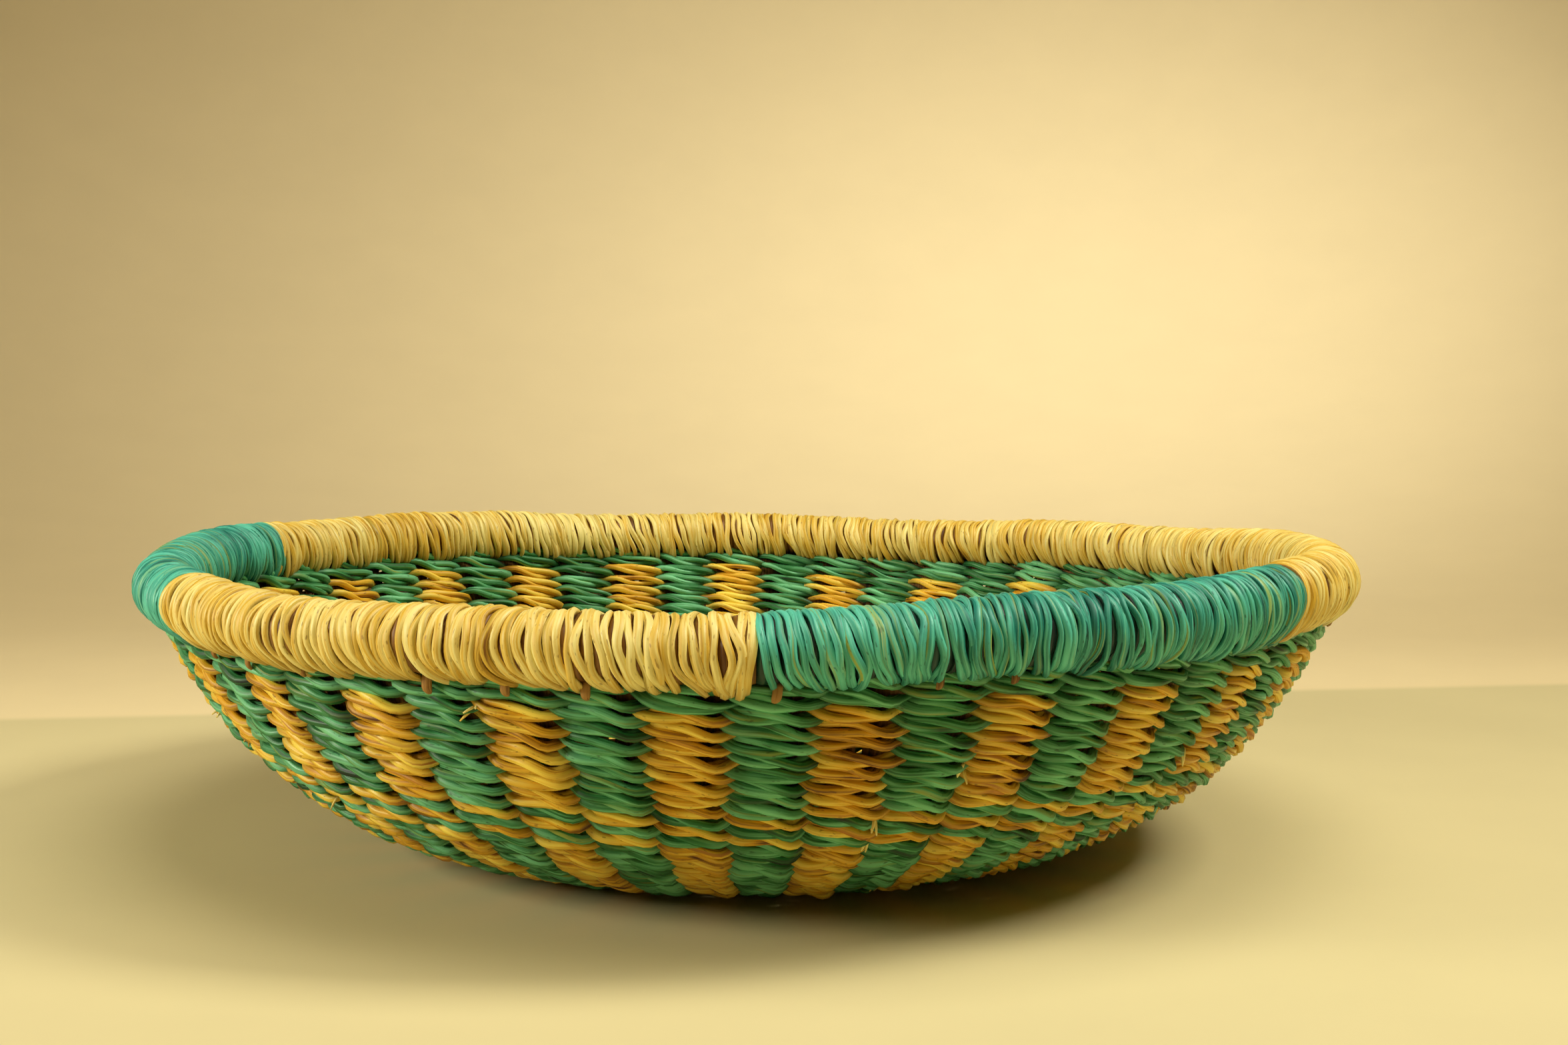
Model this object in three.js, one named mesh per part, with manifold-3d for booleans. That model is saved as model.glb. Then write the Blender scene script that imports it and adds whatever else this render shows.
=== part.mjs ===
// A round, open bowl twined from straw cords on straw stakes, with a wrapped hoop as its rim.
// Millimetres, +Z up, the flat base on Z = 0, the bowl's axis on Z, the front towards -Y.
//
// The wall is a sandwich. The stakes run in its middle, and each twined row lays one cord outside and
// one inside them, so every colour zone is an outer ring and an inner ring.
import * as THREE from "three";
import { mergeVertices } from "three/addons/utils/BufferGeometryUtils.js";
import Module from "manifold-3d";

const wasm = await Module();
wasm.setup();

// ---- driving dimensions -------------------------------------------------------------------------
const OUTER_DIAMETER = 400; // over the wrapped rim
const OVERALL_HEIGHT = 97;
const BASE_DIAMETER = 156; // the flat part underneath
const RIM_THICKNESS = 20; // over the wrapping
const RIM_CORE_DIAMETER = 14;
const WALL_LEAN = THREE.MathUtils.degToRad(21); // of the wall's top, outwards from upright
const FOOT_FULLNESS = 57; // how far the wall still hugs the ground outside the base
const SHOULDER_FULLNESS = 43; // how far the wall still follows its lean below the rim

const CORD_LAYER = 3; // thickness of one layer of twined cord
const STAKE_THICKNESS = 2.4;
const STAKE_WIDTH = 3.4;
const ROW_PITCH = 4.6; // one twined row, measured along the wall
const CLEARANCE = 0.3; // between neighbouring pieces

const BUNDLE_COUNT = 13; // stake bundles at the centre, each dividing into four stakes
const KNOT_DIAMETER = 18;
const FIRST_FORK_RADIUS = 24; // where a bundle divides in two
const SECOND_FORK_INSET = 20; // where each half divides in two again, inside the base's edge
const FORK_LENGTH = 10; // radial length over which the halves spread
const SWIRL_DIAMETER = 48; // the swirl round the centre

const BORDER_ROWS = 2;
const UPPER_BAND_ROWS = 8;
const TURN_ROWS = 3;
const FOOT_ROWS = 9; // the lowest rows, where the wall curves under
const WEAVE_TURN = THREE.MathUtils.degToRad(-4.2); // turns the stakes about the bowl's axis

// Where the rim's wrapping changes colour, in degrees from +X towards +Y.
const TEAL_LEFT_START = 161;
const NATURAL_FRONT_START = 212;
const TEAL_RIGHT_START = 271.5;
const NATURAL_BACK_START = 323.5;

const CORE_SIDES = 8; // of the rim core's faceted section
const WRAP_SIDES = 12; // of the wrapping's outer face
const KNOT_SIDES = 26;

// ---- worked-out dimensions ----------------------------------------------------------------------
const STAKES_PER_BUNDLE = 4;
const STAKE_COUNT = BUNDLE_COUNT * STAKES_PER_BUNDLE;
const STAKE_ANGLE = (2 * Math.PI) / STAKE_COUNT;
const BUNDLE_ANGLE = (2 * Math.PI) / BUNDLE_COUNT;

const WALL_THICKNESS = 2 * CORD_LAYER + STAKE_THICKNESS + 2 * CLEARANCE;
const HALF_WALL = WALL_THICKNESS / 2;
const HALF_STAKE = STAKE_THICKNESS / 2;
const BASE_RADIUS = BASE_DIAMETER / 2;
const KNOT_RADIUS = KNOT_DIAMETER / 2;
const SWIRL_RADIUS = SWIRL_DIAMETER / 2;
const SECOND_FORK_RADIUS = BASE_RADIUS - SECOND_FORK_INSET;

const RIM_RADIUS = RIM_THICKNESS / 2;
const CORE_RADIUS = RIM_CORE_DIAMETER / 2;
const RIM_CENTRE = new THREE.Vector2(OUTER_DIAMETER / 2 - RIM_RADIUS, OVERALL_HEIGHT - RIM_RADIUS);
const UP_THE_WALL = new THREE.Vector2(Math.sin(WALL_LEAN), Math.cos(WALL_LEAN));
const OUT_OF_WALL = new THREE.Vector2(Math.cos(WALL_LEAN), -Math.sin(WALL_LEAN));

// ---- the wall's middle line ---------------------------------------------------------------------
// In (radius, height): it leaves the base level, curves up and ends square to the rim core.
const wallTop = RIM_CENTRE.clone().addScaledVector(UP_THE_WALL, -(CORE_RADIUS + CLEARANCE));
const wallFoot = new THREE.Vector2(BASE_RADIUS, HALF_WALL);
const wallCurve = new THREE.CubicBezierCurve(
  wallTop,
  wallTop.clone().addScaledVector(UP_THE_WALL, -SHOULDER_FULLNESS),
  new THREE.Vector2(BASE_RADIUS + FOOT_FULLNESS, HALF_WALL),
  wallFoot,
);
const WALL_ROWS = Math.round(wallCurve.getLength() / ROW_PITCH);
const TURN_START = BORDER_ROWS + UPPER_BAND_ROWS;
const TURN_END = TURN_START + TURN_ROWS;
const FOOT_START = WALL_ROWS - FOOT_ROWS;

// The rows, counted down from the rim, at which the faceted wall bends.
const middle = (from, to) => (from + to) / 2;
const bendRows = [
  0,
  BORDER_ROWS,
  middle(BORDER_ROWS, TURN_START),
  TURN_START,
  TURN_END,
  middle(TURN_END, FOOT_START),
  FOOT_START,
  middle(FOOT_START, WALL_ROWS),
  WALL_ROWS,
];

// The wall's outward normal at a row, as (radius, height).
function outwardAt(row) {
  if (row === 0) return OUT_OF_WALL.clone();
  if (row === WALL_ROWS) return new THREE.Vector2(0, -1);
  const down = wallCurve.getTangentAt(row / WALL_ROWS);
  return new THREE.Vector2(-down.y, down.x);
}

// A point on the faceted wall: row counts down from the rim, outward is its distance from the middle.
function wallPoint(row, outward) {
  const after = bendRows.findIndex((bend) => bend >= row);
  const upper = bendRows[Math.max(after - 1, 0)];
  const lower = bendRows[Math.max(after, 1)];
  const [a, b] = [upper, lower].map((bend) =>
    wallCurve.getPointAt(bend / WALL_ROWS).addScaledVector(outwardAt(bend), outward),
  );
  return a.lerp(b, (row - upper) / (lower - upper));
}

// ---- helpers ------------------------------------------------------------------------------------
// A solid for joining and cutting, from a closed three.js geometry.
function toSolid(geometry) {
  const bare = geometry.index ? geometry.toNonIndexed() : geometry.clone();
  bare.deleteAttribute("normal");
  bare.deleteAttribute("uv");
  const merged = mergeVertices(bare, 1e-4);
  return new wasm.Manifold(
    new wasm.Mesh({
      numProp: 3,
      vertProperties: merged.attributes.position.array,
      triVerts: new Uint32Array(merged.index.array),
    }),
  );
}

function toGeometry(solid) {
  const { vertProperties, triVerts } = solid.getMesh();
  const geometry = new THREE.BufferGeometry();
  geometry.setAttribute("position", new THREE.BufferAttribute(vertProperties, 3));
  geometry.setIndex(new THREE.BufferAttribute(triVerts, 1));
  geometry.computeVertexNormals();
  return geometry;
}

// Turns an outline in (radius, height) about Z, with one facet for each stake.
function revolve(outline) {
  const closed = [...outline, outline[0]];
  return new THREE.LatheGeometry(closed, STAKE_COUNT).rotateX(Math.PI / 2);
}

// A ring of the wall between two rows and two distances from its middle.
function wallRing(fromRow, toRow, near, far) {
  const trim = (CLEARANCE / 2 / wallCurve.getLength()) * WALL_ROWS;
  const top = fromRow === 0 ? 0 : fromRow + trim;
  const rows = [top, ...bendRows.filter((bend) => bend > top && bend < toRow - trim), toRow - trim];
  const farSide = rows.map((row) => wallPoint(row, far));
  const nearSide = rows.map((row) => wallPoint(row, near)).reverse();
  return revolve([...farSide, ...nearSide].reverse());
}

// A flat ring of the base.
function baseRing(innerRadius, outerRadius, bottom, top) {
  return revolve([
    new THREE.Vector2(innerRadius, bottom),
    new THREE.Vector2(outerRadius, bottom),
    new THREE.Vector2(outerRadius, top),
    new THREE.Vector2(innerRadius, top),
  ]);
}

// ---- materials ----------------------------------------------------------------------------------
const finishes = {
  teal: { color: 0x2b8f80, roughness: 0.55, metalness: 0 },
  natural: { color: 0xdcb04c, roughness: 0.55, metalness: 0 },
  green: { color: 0x34885a, roughness: 0.6, metalness: 0 },
  gold: { color: 0xdfa42c, roughness: 0.6, metalness: 0 },
  plain: { color: 0xb98f4a, roughness: 0.75, metalness: 0 },
};

const basket = new THREE.Group();
basket.rotation.z = WEAVE_TURN;

function add(name, geometry, finish) {
  const mesh = new THREE.Mesh(geometry, new THREE.MeshStandardMaterial(finishes[finish]));
  mesh.name = name;
  basket.add(mesh);
}

// ---- rim ----------------------------------------------------------------------------------------
// A point of the rim's section: the angle is measured from the side where the wall comes in.
function rimPoint(radius, angle) {
  return RIM_CENTRE.clone()
    .addScaledVector(UP_THE_WALL, -radius * Math.cos(angle))
    .addScaledVector(OUT_OF_WALL, radius * Math.sin(angle));
}

// A flat of the core faces the wall's top edge.
function rimCore() {
  const outline = [];
  for (let side = 0; side < CORE_SIDES; side++) {
    outline.push(rimPoint(CORE_RADIUS, ((side + 0.5) / CORE_SIDES) * 2 * Math.PI));
  }
  return revolve(outline);
}

// Round the core and down over the wall's top edge, which goes in at a mouth underneath.
function rimWrapRing() {
  const mouth = HALF_WALL + CLEARANCE;
  const boreRadius = (CORE_RADIUS + CLEARANCE) / Math.cos(Math.PI / CORE_SIDES);
  const arc = (radius, sides) => {
    const lip = Math.asin(mouth / radius);
    const points = [];
    for (let side = 0; side <= sides; side++) {
      points.push(rimPoint(radius, lip + (side / sides) * (2 * Math.PI - 2 * lip)));
    }
    return points;
  };
  return revolve([...arc(RIM_RADIUS, WRAP_SIDES), ...arc(boreRadius, CORE_SIDES).reverse()]);
}

// A wedge of space about Z between two angles in degrees, in the finished basket's frame.
function wedge(fromDegrees, toDegrees) {
  const gap = CLEARANCE / 2 / RIM_CENTRE.x;
  const from = THREE.MathUtils.degToRad(fromDegrees) - WEAVE_TURN + gap;
  const to = THREE.MathUtils.degToRad(toDegrees) - WEAVE_TURN - gap;
  const reach = OUTER_DIAMETER;
  const outline = [new THREE.Vector2(0, 0)];
  const corners = 6;
  for (let i = 0; i <= corners; i++) {
    const angle = from + ((to - from) * i) / corners;
    outline.push(new THREE.Vector2(reach * Math.cos(angle), reach * Math.sin(angle)));
  }
  return new THREE.ExtrudeGeometry(new THREE.Shape(outline), {
    depth: OVERALL_HEIGHT * 2,
    bevelEnabled: false,
  });
}

function addRim() {
  add("rim_core", rimCore(), "plain");
  const ring = toSolid(rimWrapRing());
  const segments = [
    ["rim_wrap_teal_left", TEAL_LEFT_START, NATURAL_FRONT_START, "teal"],
    ["rim_wrap_natural_front", NATURAL_FRONT_START, TEAL_RIGHT_START, "natural"],
    ["rim_wrap_teal_right", TEAL_RIGHT_START, NATURAL_BACK_START, "teal"],
    ["rim_wrap_natural_back", NATURAL_BACK_START, TEAL_LEFT_START + 360, "natural"],
  ];
  for (const [name, from, to, finish] of segments) {
    add(name, toGeometry(ring.intersect(toSolid(wedge(from, to)))), finish);
  }
}

// ---- twined rows --------------------------------------------------------------------------------
function addWallZone(name, fromRow, toRow, outerFinish, innerFinish) {
  const near = HALF_STAKE + CLEARANCE;
  add(`${name}_outer`, wallRing(fromRow, toRow, near, HALF_WALL), outerFinish);
  add(`${name}_inner`, wallRing(fromRow, toRow, -HALF_WALL, -near), innerFinish);
}

function addBaseZone(name, innerRadius, outerRadius, outerFinish, innerFinish) {
  const from = innerRadius + CLEARANCE / 2;
  const to = outerRadius - CLEARANCE / 2;
  add(`${name}_outer`, baseRing(from, to, 0, CORD_LAYER), outerFinish);
  add(`${name}_inner`, baseRing(from, to, WALL_THICKNESS - CORD_LAYER, WALL_THICKNESS), innerFinish);
}

function addWeave() {
  addWallZone("border_rows", 0, BORDER_ROWS, "green", "green");
  addWallZone("upper_bands", BORDER_ROWS, TURN_START, "gold", "green");
  for (let i = 0; i < TURN_ROWS; i++) {
    const finish = i % 2 ? "green" : "gold";
    addWallZone(`turn_row_${i + 1}`, TURN_START + i, TURN_START + i + 1, finish, finish);
  }
  addWallZone("lower_bands", TURN_END, FOOT_START, "gold", "green");
  addWallZone("foot_bands", FOOT_START, WALL_ROWS, "green", "gold");
  addBaseZone("base_bands", SWIRL_RADIUS, BASE_RADIUS, "gold", "gold");
  addBaseZone("centre_swirl", KNOT_RADIUS, SWIRL_RADIUS, "green", "green");
  const knotRadius = KNOT_RADIUS - CLEARANCE / 2;
  const knot = new THREE.CylinderGeometry(knotRadius, knotRadius, WALL_THICKNESS, KNOT_SIDES);
  knot.rotateX(Math.PI / 2).translate(0, 0, HALF_WALL);
  add("centre_knot", knot, "natural");
}

// ---- stakes -------------------------------------------------------------------------------------
// A flat bar in the base between two places, each given by its radius and its angle.
function baseBar(fromRadius, fromAngle, toRadius, toAngle) {
  const from = new THREE.Vector2(fromRadius, 0).rotateAround(new THREE.Vector2(), fromAngle);
  const to = new THREE.Vector2(toRadius, 0).rotateAround(new THREE.Vector2(), toAngle);
  const along = to.clone().sub(from);
  const bar = new THREE.BoxGeometry(along.length(), STAKE_WIDTH, STAKE_THICKNESS);
  bar.rotateZ(along.angle());
  return bar.translate((from.x + to.x) / 2, (from.y + to.y) / 2, HALF_WALL);
}

// One stake from the base, over the foot and up the wall, as an outline in (radius, height).
function wallStake(fromRadius, angle) {
  const outer = bendRows.map((row) => wallPoint(row, HALF_STAKE));
  const inner = bendRows.map((row) => wallPoint(row, -HALF_STAKE)).reverse();
  const underBase = new THREE.Vector2(fromRadius, HALF_WALL - HALF_STAKE);
  const overBase = new THREE.Vector2(fromRadius, HALF_WALL + HALF_STAKE);
  const outline = new THREE.Shape([...outer, underBase, overBase, ...inner]);
  const stake = new THREE.ExtrudeGeometry(outline, { depth: STAKE_WIDTH, bevelEnabled: false });
  return stake.translate(0, 0, -STAKE_WIDTH / 2).rotateX(Math.PI / 2).rotateZ(angle);
}

// One bundle lying about +X: a stem, two halves, then four stakes.
function stakeBundle() {
  const pieces = [baseBar(KNOT_RADIUS + CLEARANCE, 0, FIRST_FORK_RADIUS, 0)];
  const firstSpread = FIRST_FORK_RADIUS + FORK_LENGTH;
  const secondSpread = SECOND_FORK_RADIUS + FORK_LENGTH;
  for (const side of [-1, 1]) {
    const half = side * STAKE_ANGLE;
    pieces.push(baseBar(FIRST_FORK_RADIUS - HALF_STAKE, 0, firstSpread, half));
    pieces.push(baseBar(firstSpread - HALF_STAKE, half, SECOND_FORK_RADIUS, half));
    for (const twig of [-1, 1]) {
      const angle = half + (twig * STAKE_ANGLE) / 2;
      pieces.push(baseBar(SECOND_FORK_RADIUS - HALF_STAKE, half, secondSpread, angle));
      pieces.push(wallStake(secondSpread - HALF_STAKE, angle));
    }
  }
  return pieces.map(toSolid).reduce((joined, piece) => joined.add(piece));
}

function addStakes() {
  const bundle = toGeometry(stakeBundle());
  for (let i = 0; i < BUNDLE_COUNT; i++) {
    const angle = i * BUNDLE_ANGLE + STAKE_ANGLE / 2;
    add(`stake_bundle_${String(i + 1).padStart(2, "0")}`, bundle.clone().rotateZ(angle), "plain");
  }
}

addRim();
addWeave();
addStakes();

export default basket;
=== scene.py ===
"""Shallow round bowl of twined grass straw with a straw-wrapped rim.

Two cords, each laid up from two plies of dyed grass, are twined round 52 stakes from the
centre of the base to the rim. Where the green cord passes outside a stake the gold one
passes inside it, which makes the columns of colour. A bundle of brown straw forms the rim,
bound over with natural and teal grass. Lengths are metres; MM turns a size in millimetres.
"""

import logging
import math
from dataclasses import dataclass, field
from enum import Enum

import bpy
import numpy as np
from mathutils import Matrix, Vector


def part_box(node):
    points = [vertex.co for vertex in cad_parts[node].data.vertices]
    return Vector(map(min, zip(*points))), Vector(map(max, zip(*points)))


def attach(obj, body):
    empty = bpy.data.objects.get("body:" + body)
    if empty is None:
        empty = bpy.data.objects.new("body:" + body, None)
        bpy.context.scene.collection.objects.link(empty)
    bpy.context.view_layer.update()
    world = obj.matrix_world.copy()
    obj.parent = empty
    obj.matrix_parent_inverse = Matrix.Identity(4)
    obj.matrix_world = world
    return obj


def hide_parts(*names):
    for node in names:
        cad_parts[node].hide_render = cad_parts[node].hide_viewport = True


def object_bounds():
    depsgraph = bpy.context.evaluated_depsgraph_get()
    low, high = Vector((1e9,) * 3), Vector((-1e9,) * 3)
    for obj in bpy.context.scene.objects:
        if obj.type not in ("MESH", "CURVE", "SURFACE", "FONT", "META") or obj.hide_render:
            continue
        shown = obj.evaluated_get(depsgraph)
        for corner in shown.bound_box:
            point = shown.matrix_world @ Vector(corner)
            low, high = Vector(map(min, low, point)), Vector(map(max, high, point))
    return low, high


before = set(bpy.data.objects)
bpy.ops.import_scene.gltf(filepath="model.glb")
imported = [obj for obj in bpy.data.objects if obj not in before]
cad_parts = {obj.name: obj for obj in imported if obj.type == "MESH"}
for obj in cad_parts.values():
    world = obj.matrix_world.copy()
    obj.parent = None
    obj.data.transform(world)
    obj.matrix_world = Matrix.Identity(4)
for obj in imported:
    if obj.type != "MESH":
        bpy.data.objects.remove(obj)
CAD_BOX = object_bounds()

MM = 0.001
BODY = "root"
LOG = logging.getLogger("bowl")

STAKE_COUNT = 52
STAKE_ANGLE = 2 * math.pi / STAKE_COUNT
STAKE_TURN = math.radians(-4.2)
WALL_ROWS = 30
SEAM_STAKE = 13.5  # the stakes are numbered from +X; each row of the wall steps down here
PATTERN_SPAN = 1000  # mm; each straw's pattern starts somewhere along this length


class Dye(Enum):
    """The colours of grass in the bowl."""

    TEAL = "straw_teal"
    NATURAL = "straw_natural"
    GREEN = "straw_green"
    GOLD = "straw_gold"
    PLAIN = "straw_plain"


def linear(hex_colour: str) -> tuple[float, float, float, float]:
    """Turns an sRGB colour into the linear values that shaders use.

    Args:
        hex_colour: six hexadecimal digits, with or without a leading hash.

    Returns:
        Red, green, blue and alpha, each from 0 to 1.
    """
    digits = hex_colour.lstrip("#")
    channels = [int(digits[i : i + 2], 16) / 255 for i in (0, 2, 4)]
    curve = [c / 12.92 if c <= 0.04045 else ((c + 0.055) / 1.055) ** 2.4 for c in channels]
    return (*curve, 1.0)


def add_node(
    tree: bpy.types.NodeTree, kind: str, settings: dict | None = None, inputs: dict | None = None
) -> bpy.types.Node:
    """Adds a shader node, with its settings and its inputs.

    Args:
        tree: the node tree of the material.
        kind: the node's type name without "ShaderNode".
        settings: the node's properties by name.
        inputs: a value or an output socket for each input, by name or number.

    Returns:
        The new node.
    """
    node = tree.nodes.new("ShaderNode" + kind)
    for name, value in (settings or {}).items():
        setattr(node, name, value)
    for name, value in (inputs or {}).items():
        if isinstance(value, bpy.types.NodeSocket):
            tree.links.new(value, node.inputs[name])
        else:
            node.inputs[name].default_value = value
    return node


def deselect_all() -> None:
    """Leaves nothing selected, so that an operator acts only on what comes next."""
    bpy.ops.object.select_all(action="DESELECT")


@dataclass(frozen=True)
class StrawFinish:
    """Dyed, sun-dried grass straw, split and twisted by hand.

    Grass has fine fibres along its length and a thin waxy skin, so the eye sees lengthwise
    streaks of tone, soft glints along the crown of each straw and matter hollows. Where a straw
    dives into the weave or under the rim, its colour is darkened with painted shade.
    """

    name: str
    # The darkest random tone of the straw, and also the colour that painted shade draws towards.
    dark_tone_and_shade: str
    body: str
    light: str
    streak: str
    streak_share: float = 0.18
    # How far painted shade draws the colour towards the dark tone.
    painted_shade_strength: float = 0.5
    roughness: tuple[float, float] = (0.36, 0.6)  # on the crowns and in the hollows
    fibre_spacing: float = 0.75  # mm; real fibres are finer than this, too fine to show
    fibre_length: float = 26.0  # mm
    fibre_relief: float = 0.22 * MM
    relief_strength: float = 0.7
    patch_size: tuple[float, float] = (9.0, 3.5)  # mm along and across
    speck_size: tuple[float, float] = (2.2, 2.2 / 3)  # mm along and across
    speck_edge: tuple[float, float] = (0.66, 0.74)
    speck_depth: float = 0.55
    streak_edge: tuple[float, float] = (0.68, 0.8)
    tone_shift: float = -0.12
    fibre_weight: float = 0.75
    tint_weight: float = 0.5
    patch_weight: float = 0.3
    tone_stops: tuple[float, float, float] = (0.34, 0.56, 0.82)
    refraction: float = 1.46

    def material(self) -> bpy.types.Material:
        """Builds the shader, which reads each straw's own length, girth and tint.

        Returns:
            The material, named for the straw and its dye.
        """
        material = bpy.data.materials.new(self.name)
        material.use_nodes = True
        tree = material.node_tree
        shader = tree.nodes["Principled BSDF"]

        # "strand" counts millimetres along the straw and across its section.
        strand = add_node(tree, "Attribute", {"attribute_name": "strand"}).outputs["Vector"]
        tint = add_node(tree, "Attribute", {"attribute_name": "tint"}).outputs["Vector"]
        tint_parts = add_node(tree, "SeparateXYZ", inputs={0: tint}).outputs
        fibre = self._noise(tree, strand, self.fibre_length, self.fibre_spacing, 2.0)
        patch = self._noise(tree, strand, *self.patch_size, 1.0)
        speck = self._noise(tree, strand, *self.speck_size, 1.0)

        tone = self.tone_shift
        for part, weight in (
            (fibre, self.fibre_weight),
            (tint_parts["X"], self.tint_weight),
            (patch, self.patch_weight),
        ):
            summed = add_node(tree, "Math", {"operation": "MULTIPLY_ADD"}, {0: part, 1: weight, 2: tone})
            tone = summed.outputs[0]
        ramp = add_node(tree, "ValToRGB", inputs={0: tone})
        stops = ramp.color_ramp.elements
        stops[0].position, stops[0].color = self.tone_stops[0], linear(self.dark_tone_and_shade)
        stops[1].position, stops[1].color = self.tone_stops[2], linear(self.light)
        middle = stops.new(self.tone_stops[1])
        middle.color = linear(self.body)

        streaked = self._noise(tree, strand, self.fibre_length * 1.6, self.fibre_spacing * 1.7, 1.0)
        streaked = add_node(
            tree,
            "MapRange",
            inputs={
                0: streaked,
                1: self.streak_edge[0] - self.streak_share,
                2: self.streak_edge[1] - self.streak_share,
            },
        )
        share = add_node(
            tree, "Math", {"operation": "MULTIPLY"}, {0: streaked.outputs[0], 1: tint_parts["Y"]}
        )
        colour = self._mix(tree, "MIX", share.outputs[0], ramp.outputs["Color"], linear(self.streak))
        dark_speck = add_node(
            tree,
            "MapRange",
            inputs={0: speck, 1: self.speck_edge[0], 2: self.speck_edge[1], 4: self.speck_depth},
        )
        colour = self._mix(tree, "MIX", dark_speck.outputs[0], colour, linear(self.dark_tone_and_shade))
        # Painted shade: where the tint's third part is high, the straw lies deep in the weave or under the
        # rim, and its colour is multiplied towards the dark tone.
        painted_shade = add_node(
            tree, "Math", {"operation": "MULTIPLY"}, {0: tint_parts["Z"], 1: self.painted_shade_strength}
        )
        colour = self._mix(tree, "MULTIPLY", painted_shade.outputs[0], colour, linear(self.dark_tone_and_shade))
        tree.links.new(colour, shader.inputs["Base Color"])

        rough = add_node(
            tree,
            "MapRange",
            inputs={0: fibre, 1: 0.3, 2: 0.7, 3: self.roughness[1], 4: self.roughness[0]},
        )
        tree.links.new(rough.outputs[0], shader.inputs["Roughness"])
        bump = add_node(
            tree,
            "Bump",
            inputs={"Strength": self.relief_strength, "Distance": self.fibre_relief, "Height": fibre},
        )
        tree.links.new(bump.outputs["Normal"], shader.inputs["Normal"])
        shader.inputs["IOR"].default_value = self.refraction
        return material

    def _noise(
        self,
        tree: bpy.types.NodeTree,
        strand: bpy.types.NodeSocket,
        along: float,
        across: float,
        detail: float,
    ) -> bpy.types.NodeSocket:
        """Adds noise drawn out along the straw.

        Args:
            tree: the node tree of the material.
            strand: the straw's own coordinates, in millimetres.
            along: how long one mark is, in millimetres.
            across: how wide one mark is, in millimetres.
            detail: the noise's detail.

        Returns:
            The noise's value.
        """
        scaled = add_node(
            tree,
            "VectorMath",
            {"operation": "MULTIPLY"},
            {0: strand, 1: (1 / along, 1 / across, 1 / across)},
        )
        noise = add_node(
            tree, "TexNoise", inputs={"Vector": scaled.outputs[0], "Scale": 1.0, "Detail": detail}
        )
        return noise.outputs[0]

    def _mix(
        self,
        tree: bpy.types.NodeTree,
        blend: str,
        factor: bpy.types.NodeSocket,
        first: bpy.types.NodeSocket,
        second: tuple[float, float, float, float],
    ) -> bpy.types.NodeSocket:
        """Mixes an even colour into one that varies.

        Args:
            tree: the node tree of the material.
            blend: the way of mixing.
            factor: how much of the second colour.
            first: the colour that varies.
            second: the even colour.

        Returns:
            The mixed colour.
        """
        mixed = add_node(
            tree, "Mix", {"data_type": "RGBA", "blend_type": blend}, {0: factor, 6: first, 7: second}
        )
        return mixed.outputs[2]


FINISHES = {
    # Teal grass: a strong blue-green bath over yellow straw, so yellow-green shows through in places.
    Dye.TEAL: StrawFinish(
        "teal dyed grass straw", "#032A25", "#0F7A6A", "#5CC6AC", "#96AE52", streak_share=0.13
    ),
    # Undyed grass bleached by the sun: pale gold crowns; honey brown as its darkest random tone, and as
    # the painted shade in the hollows under the rim and between the wraps.
    Dye.NATURAL: StrawFinish(
        "natural bleached grass straw", "#7A4A04", "#D9B136", "#F1E490", "#B39B3C", streak_share=0.14
    ),
    # Green grass: a thinner bath that takes unevenly, mint where the skin is waxy.
    Dye.GREEN: StrawFinish(
        "green dyed grass straw", "#08260C", "#28763A", "#74C68E", "#8A9A3C", streak_share=0.1
    ),
    # Gold grass: deep yellow dye, brown at random in its darkest tones; the same brown is the painted
    # shade where the cord dives into the weave.
    Dye.GOLD: StrawFinish(
        "gold dyed grass straw", "#572D01", "#D9A312", "#F4DA54", "#B0731A", streak_share=0.12
    ),
    # Plain dry stalks of the stakes and the rim bundle: brown, matt and never dyed.
    Dye.PLAIN: StrawFinish(
        "plain brown straw stalk",
        "#2A1704",
        "#664214",
        "#A27838",
        "#7A5A2C",
        roughness=(0.55, 0.8),
    ),
}


MATERIALS = {dye: finish.material() for dye, finish in FINISHES.items()}


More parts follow.
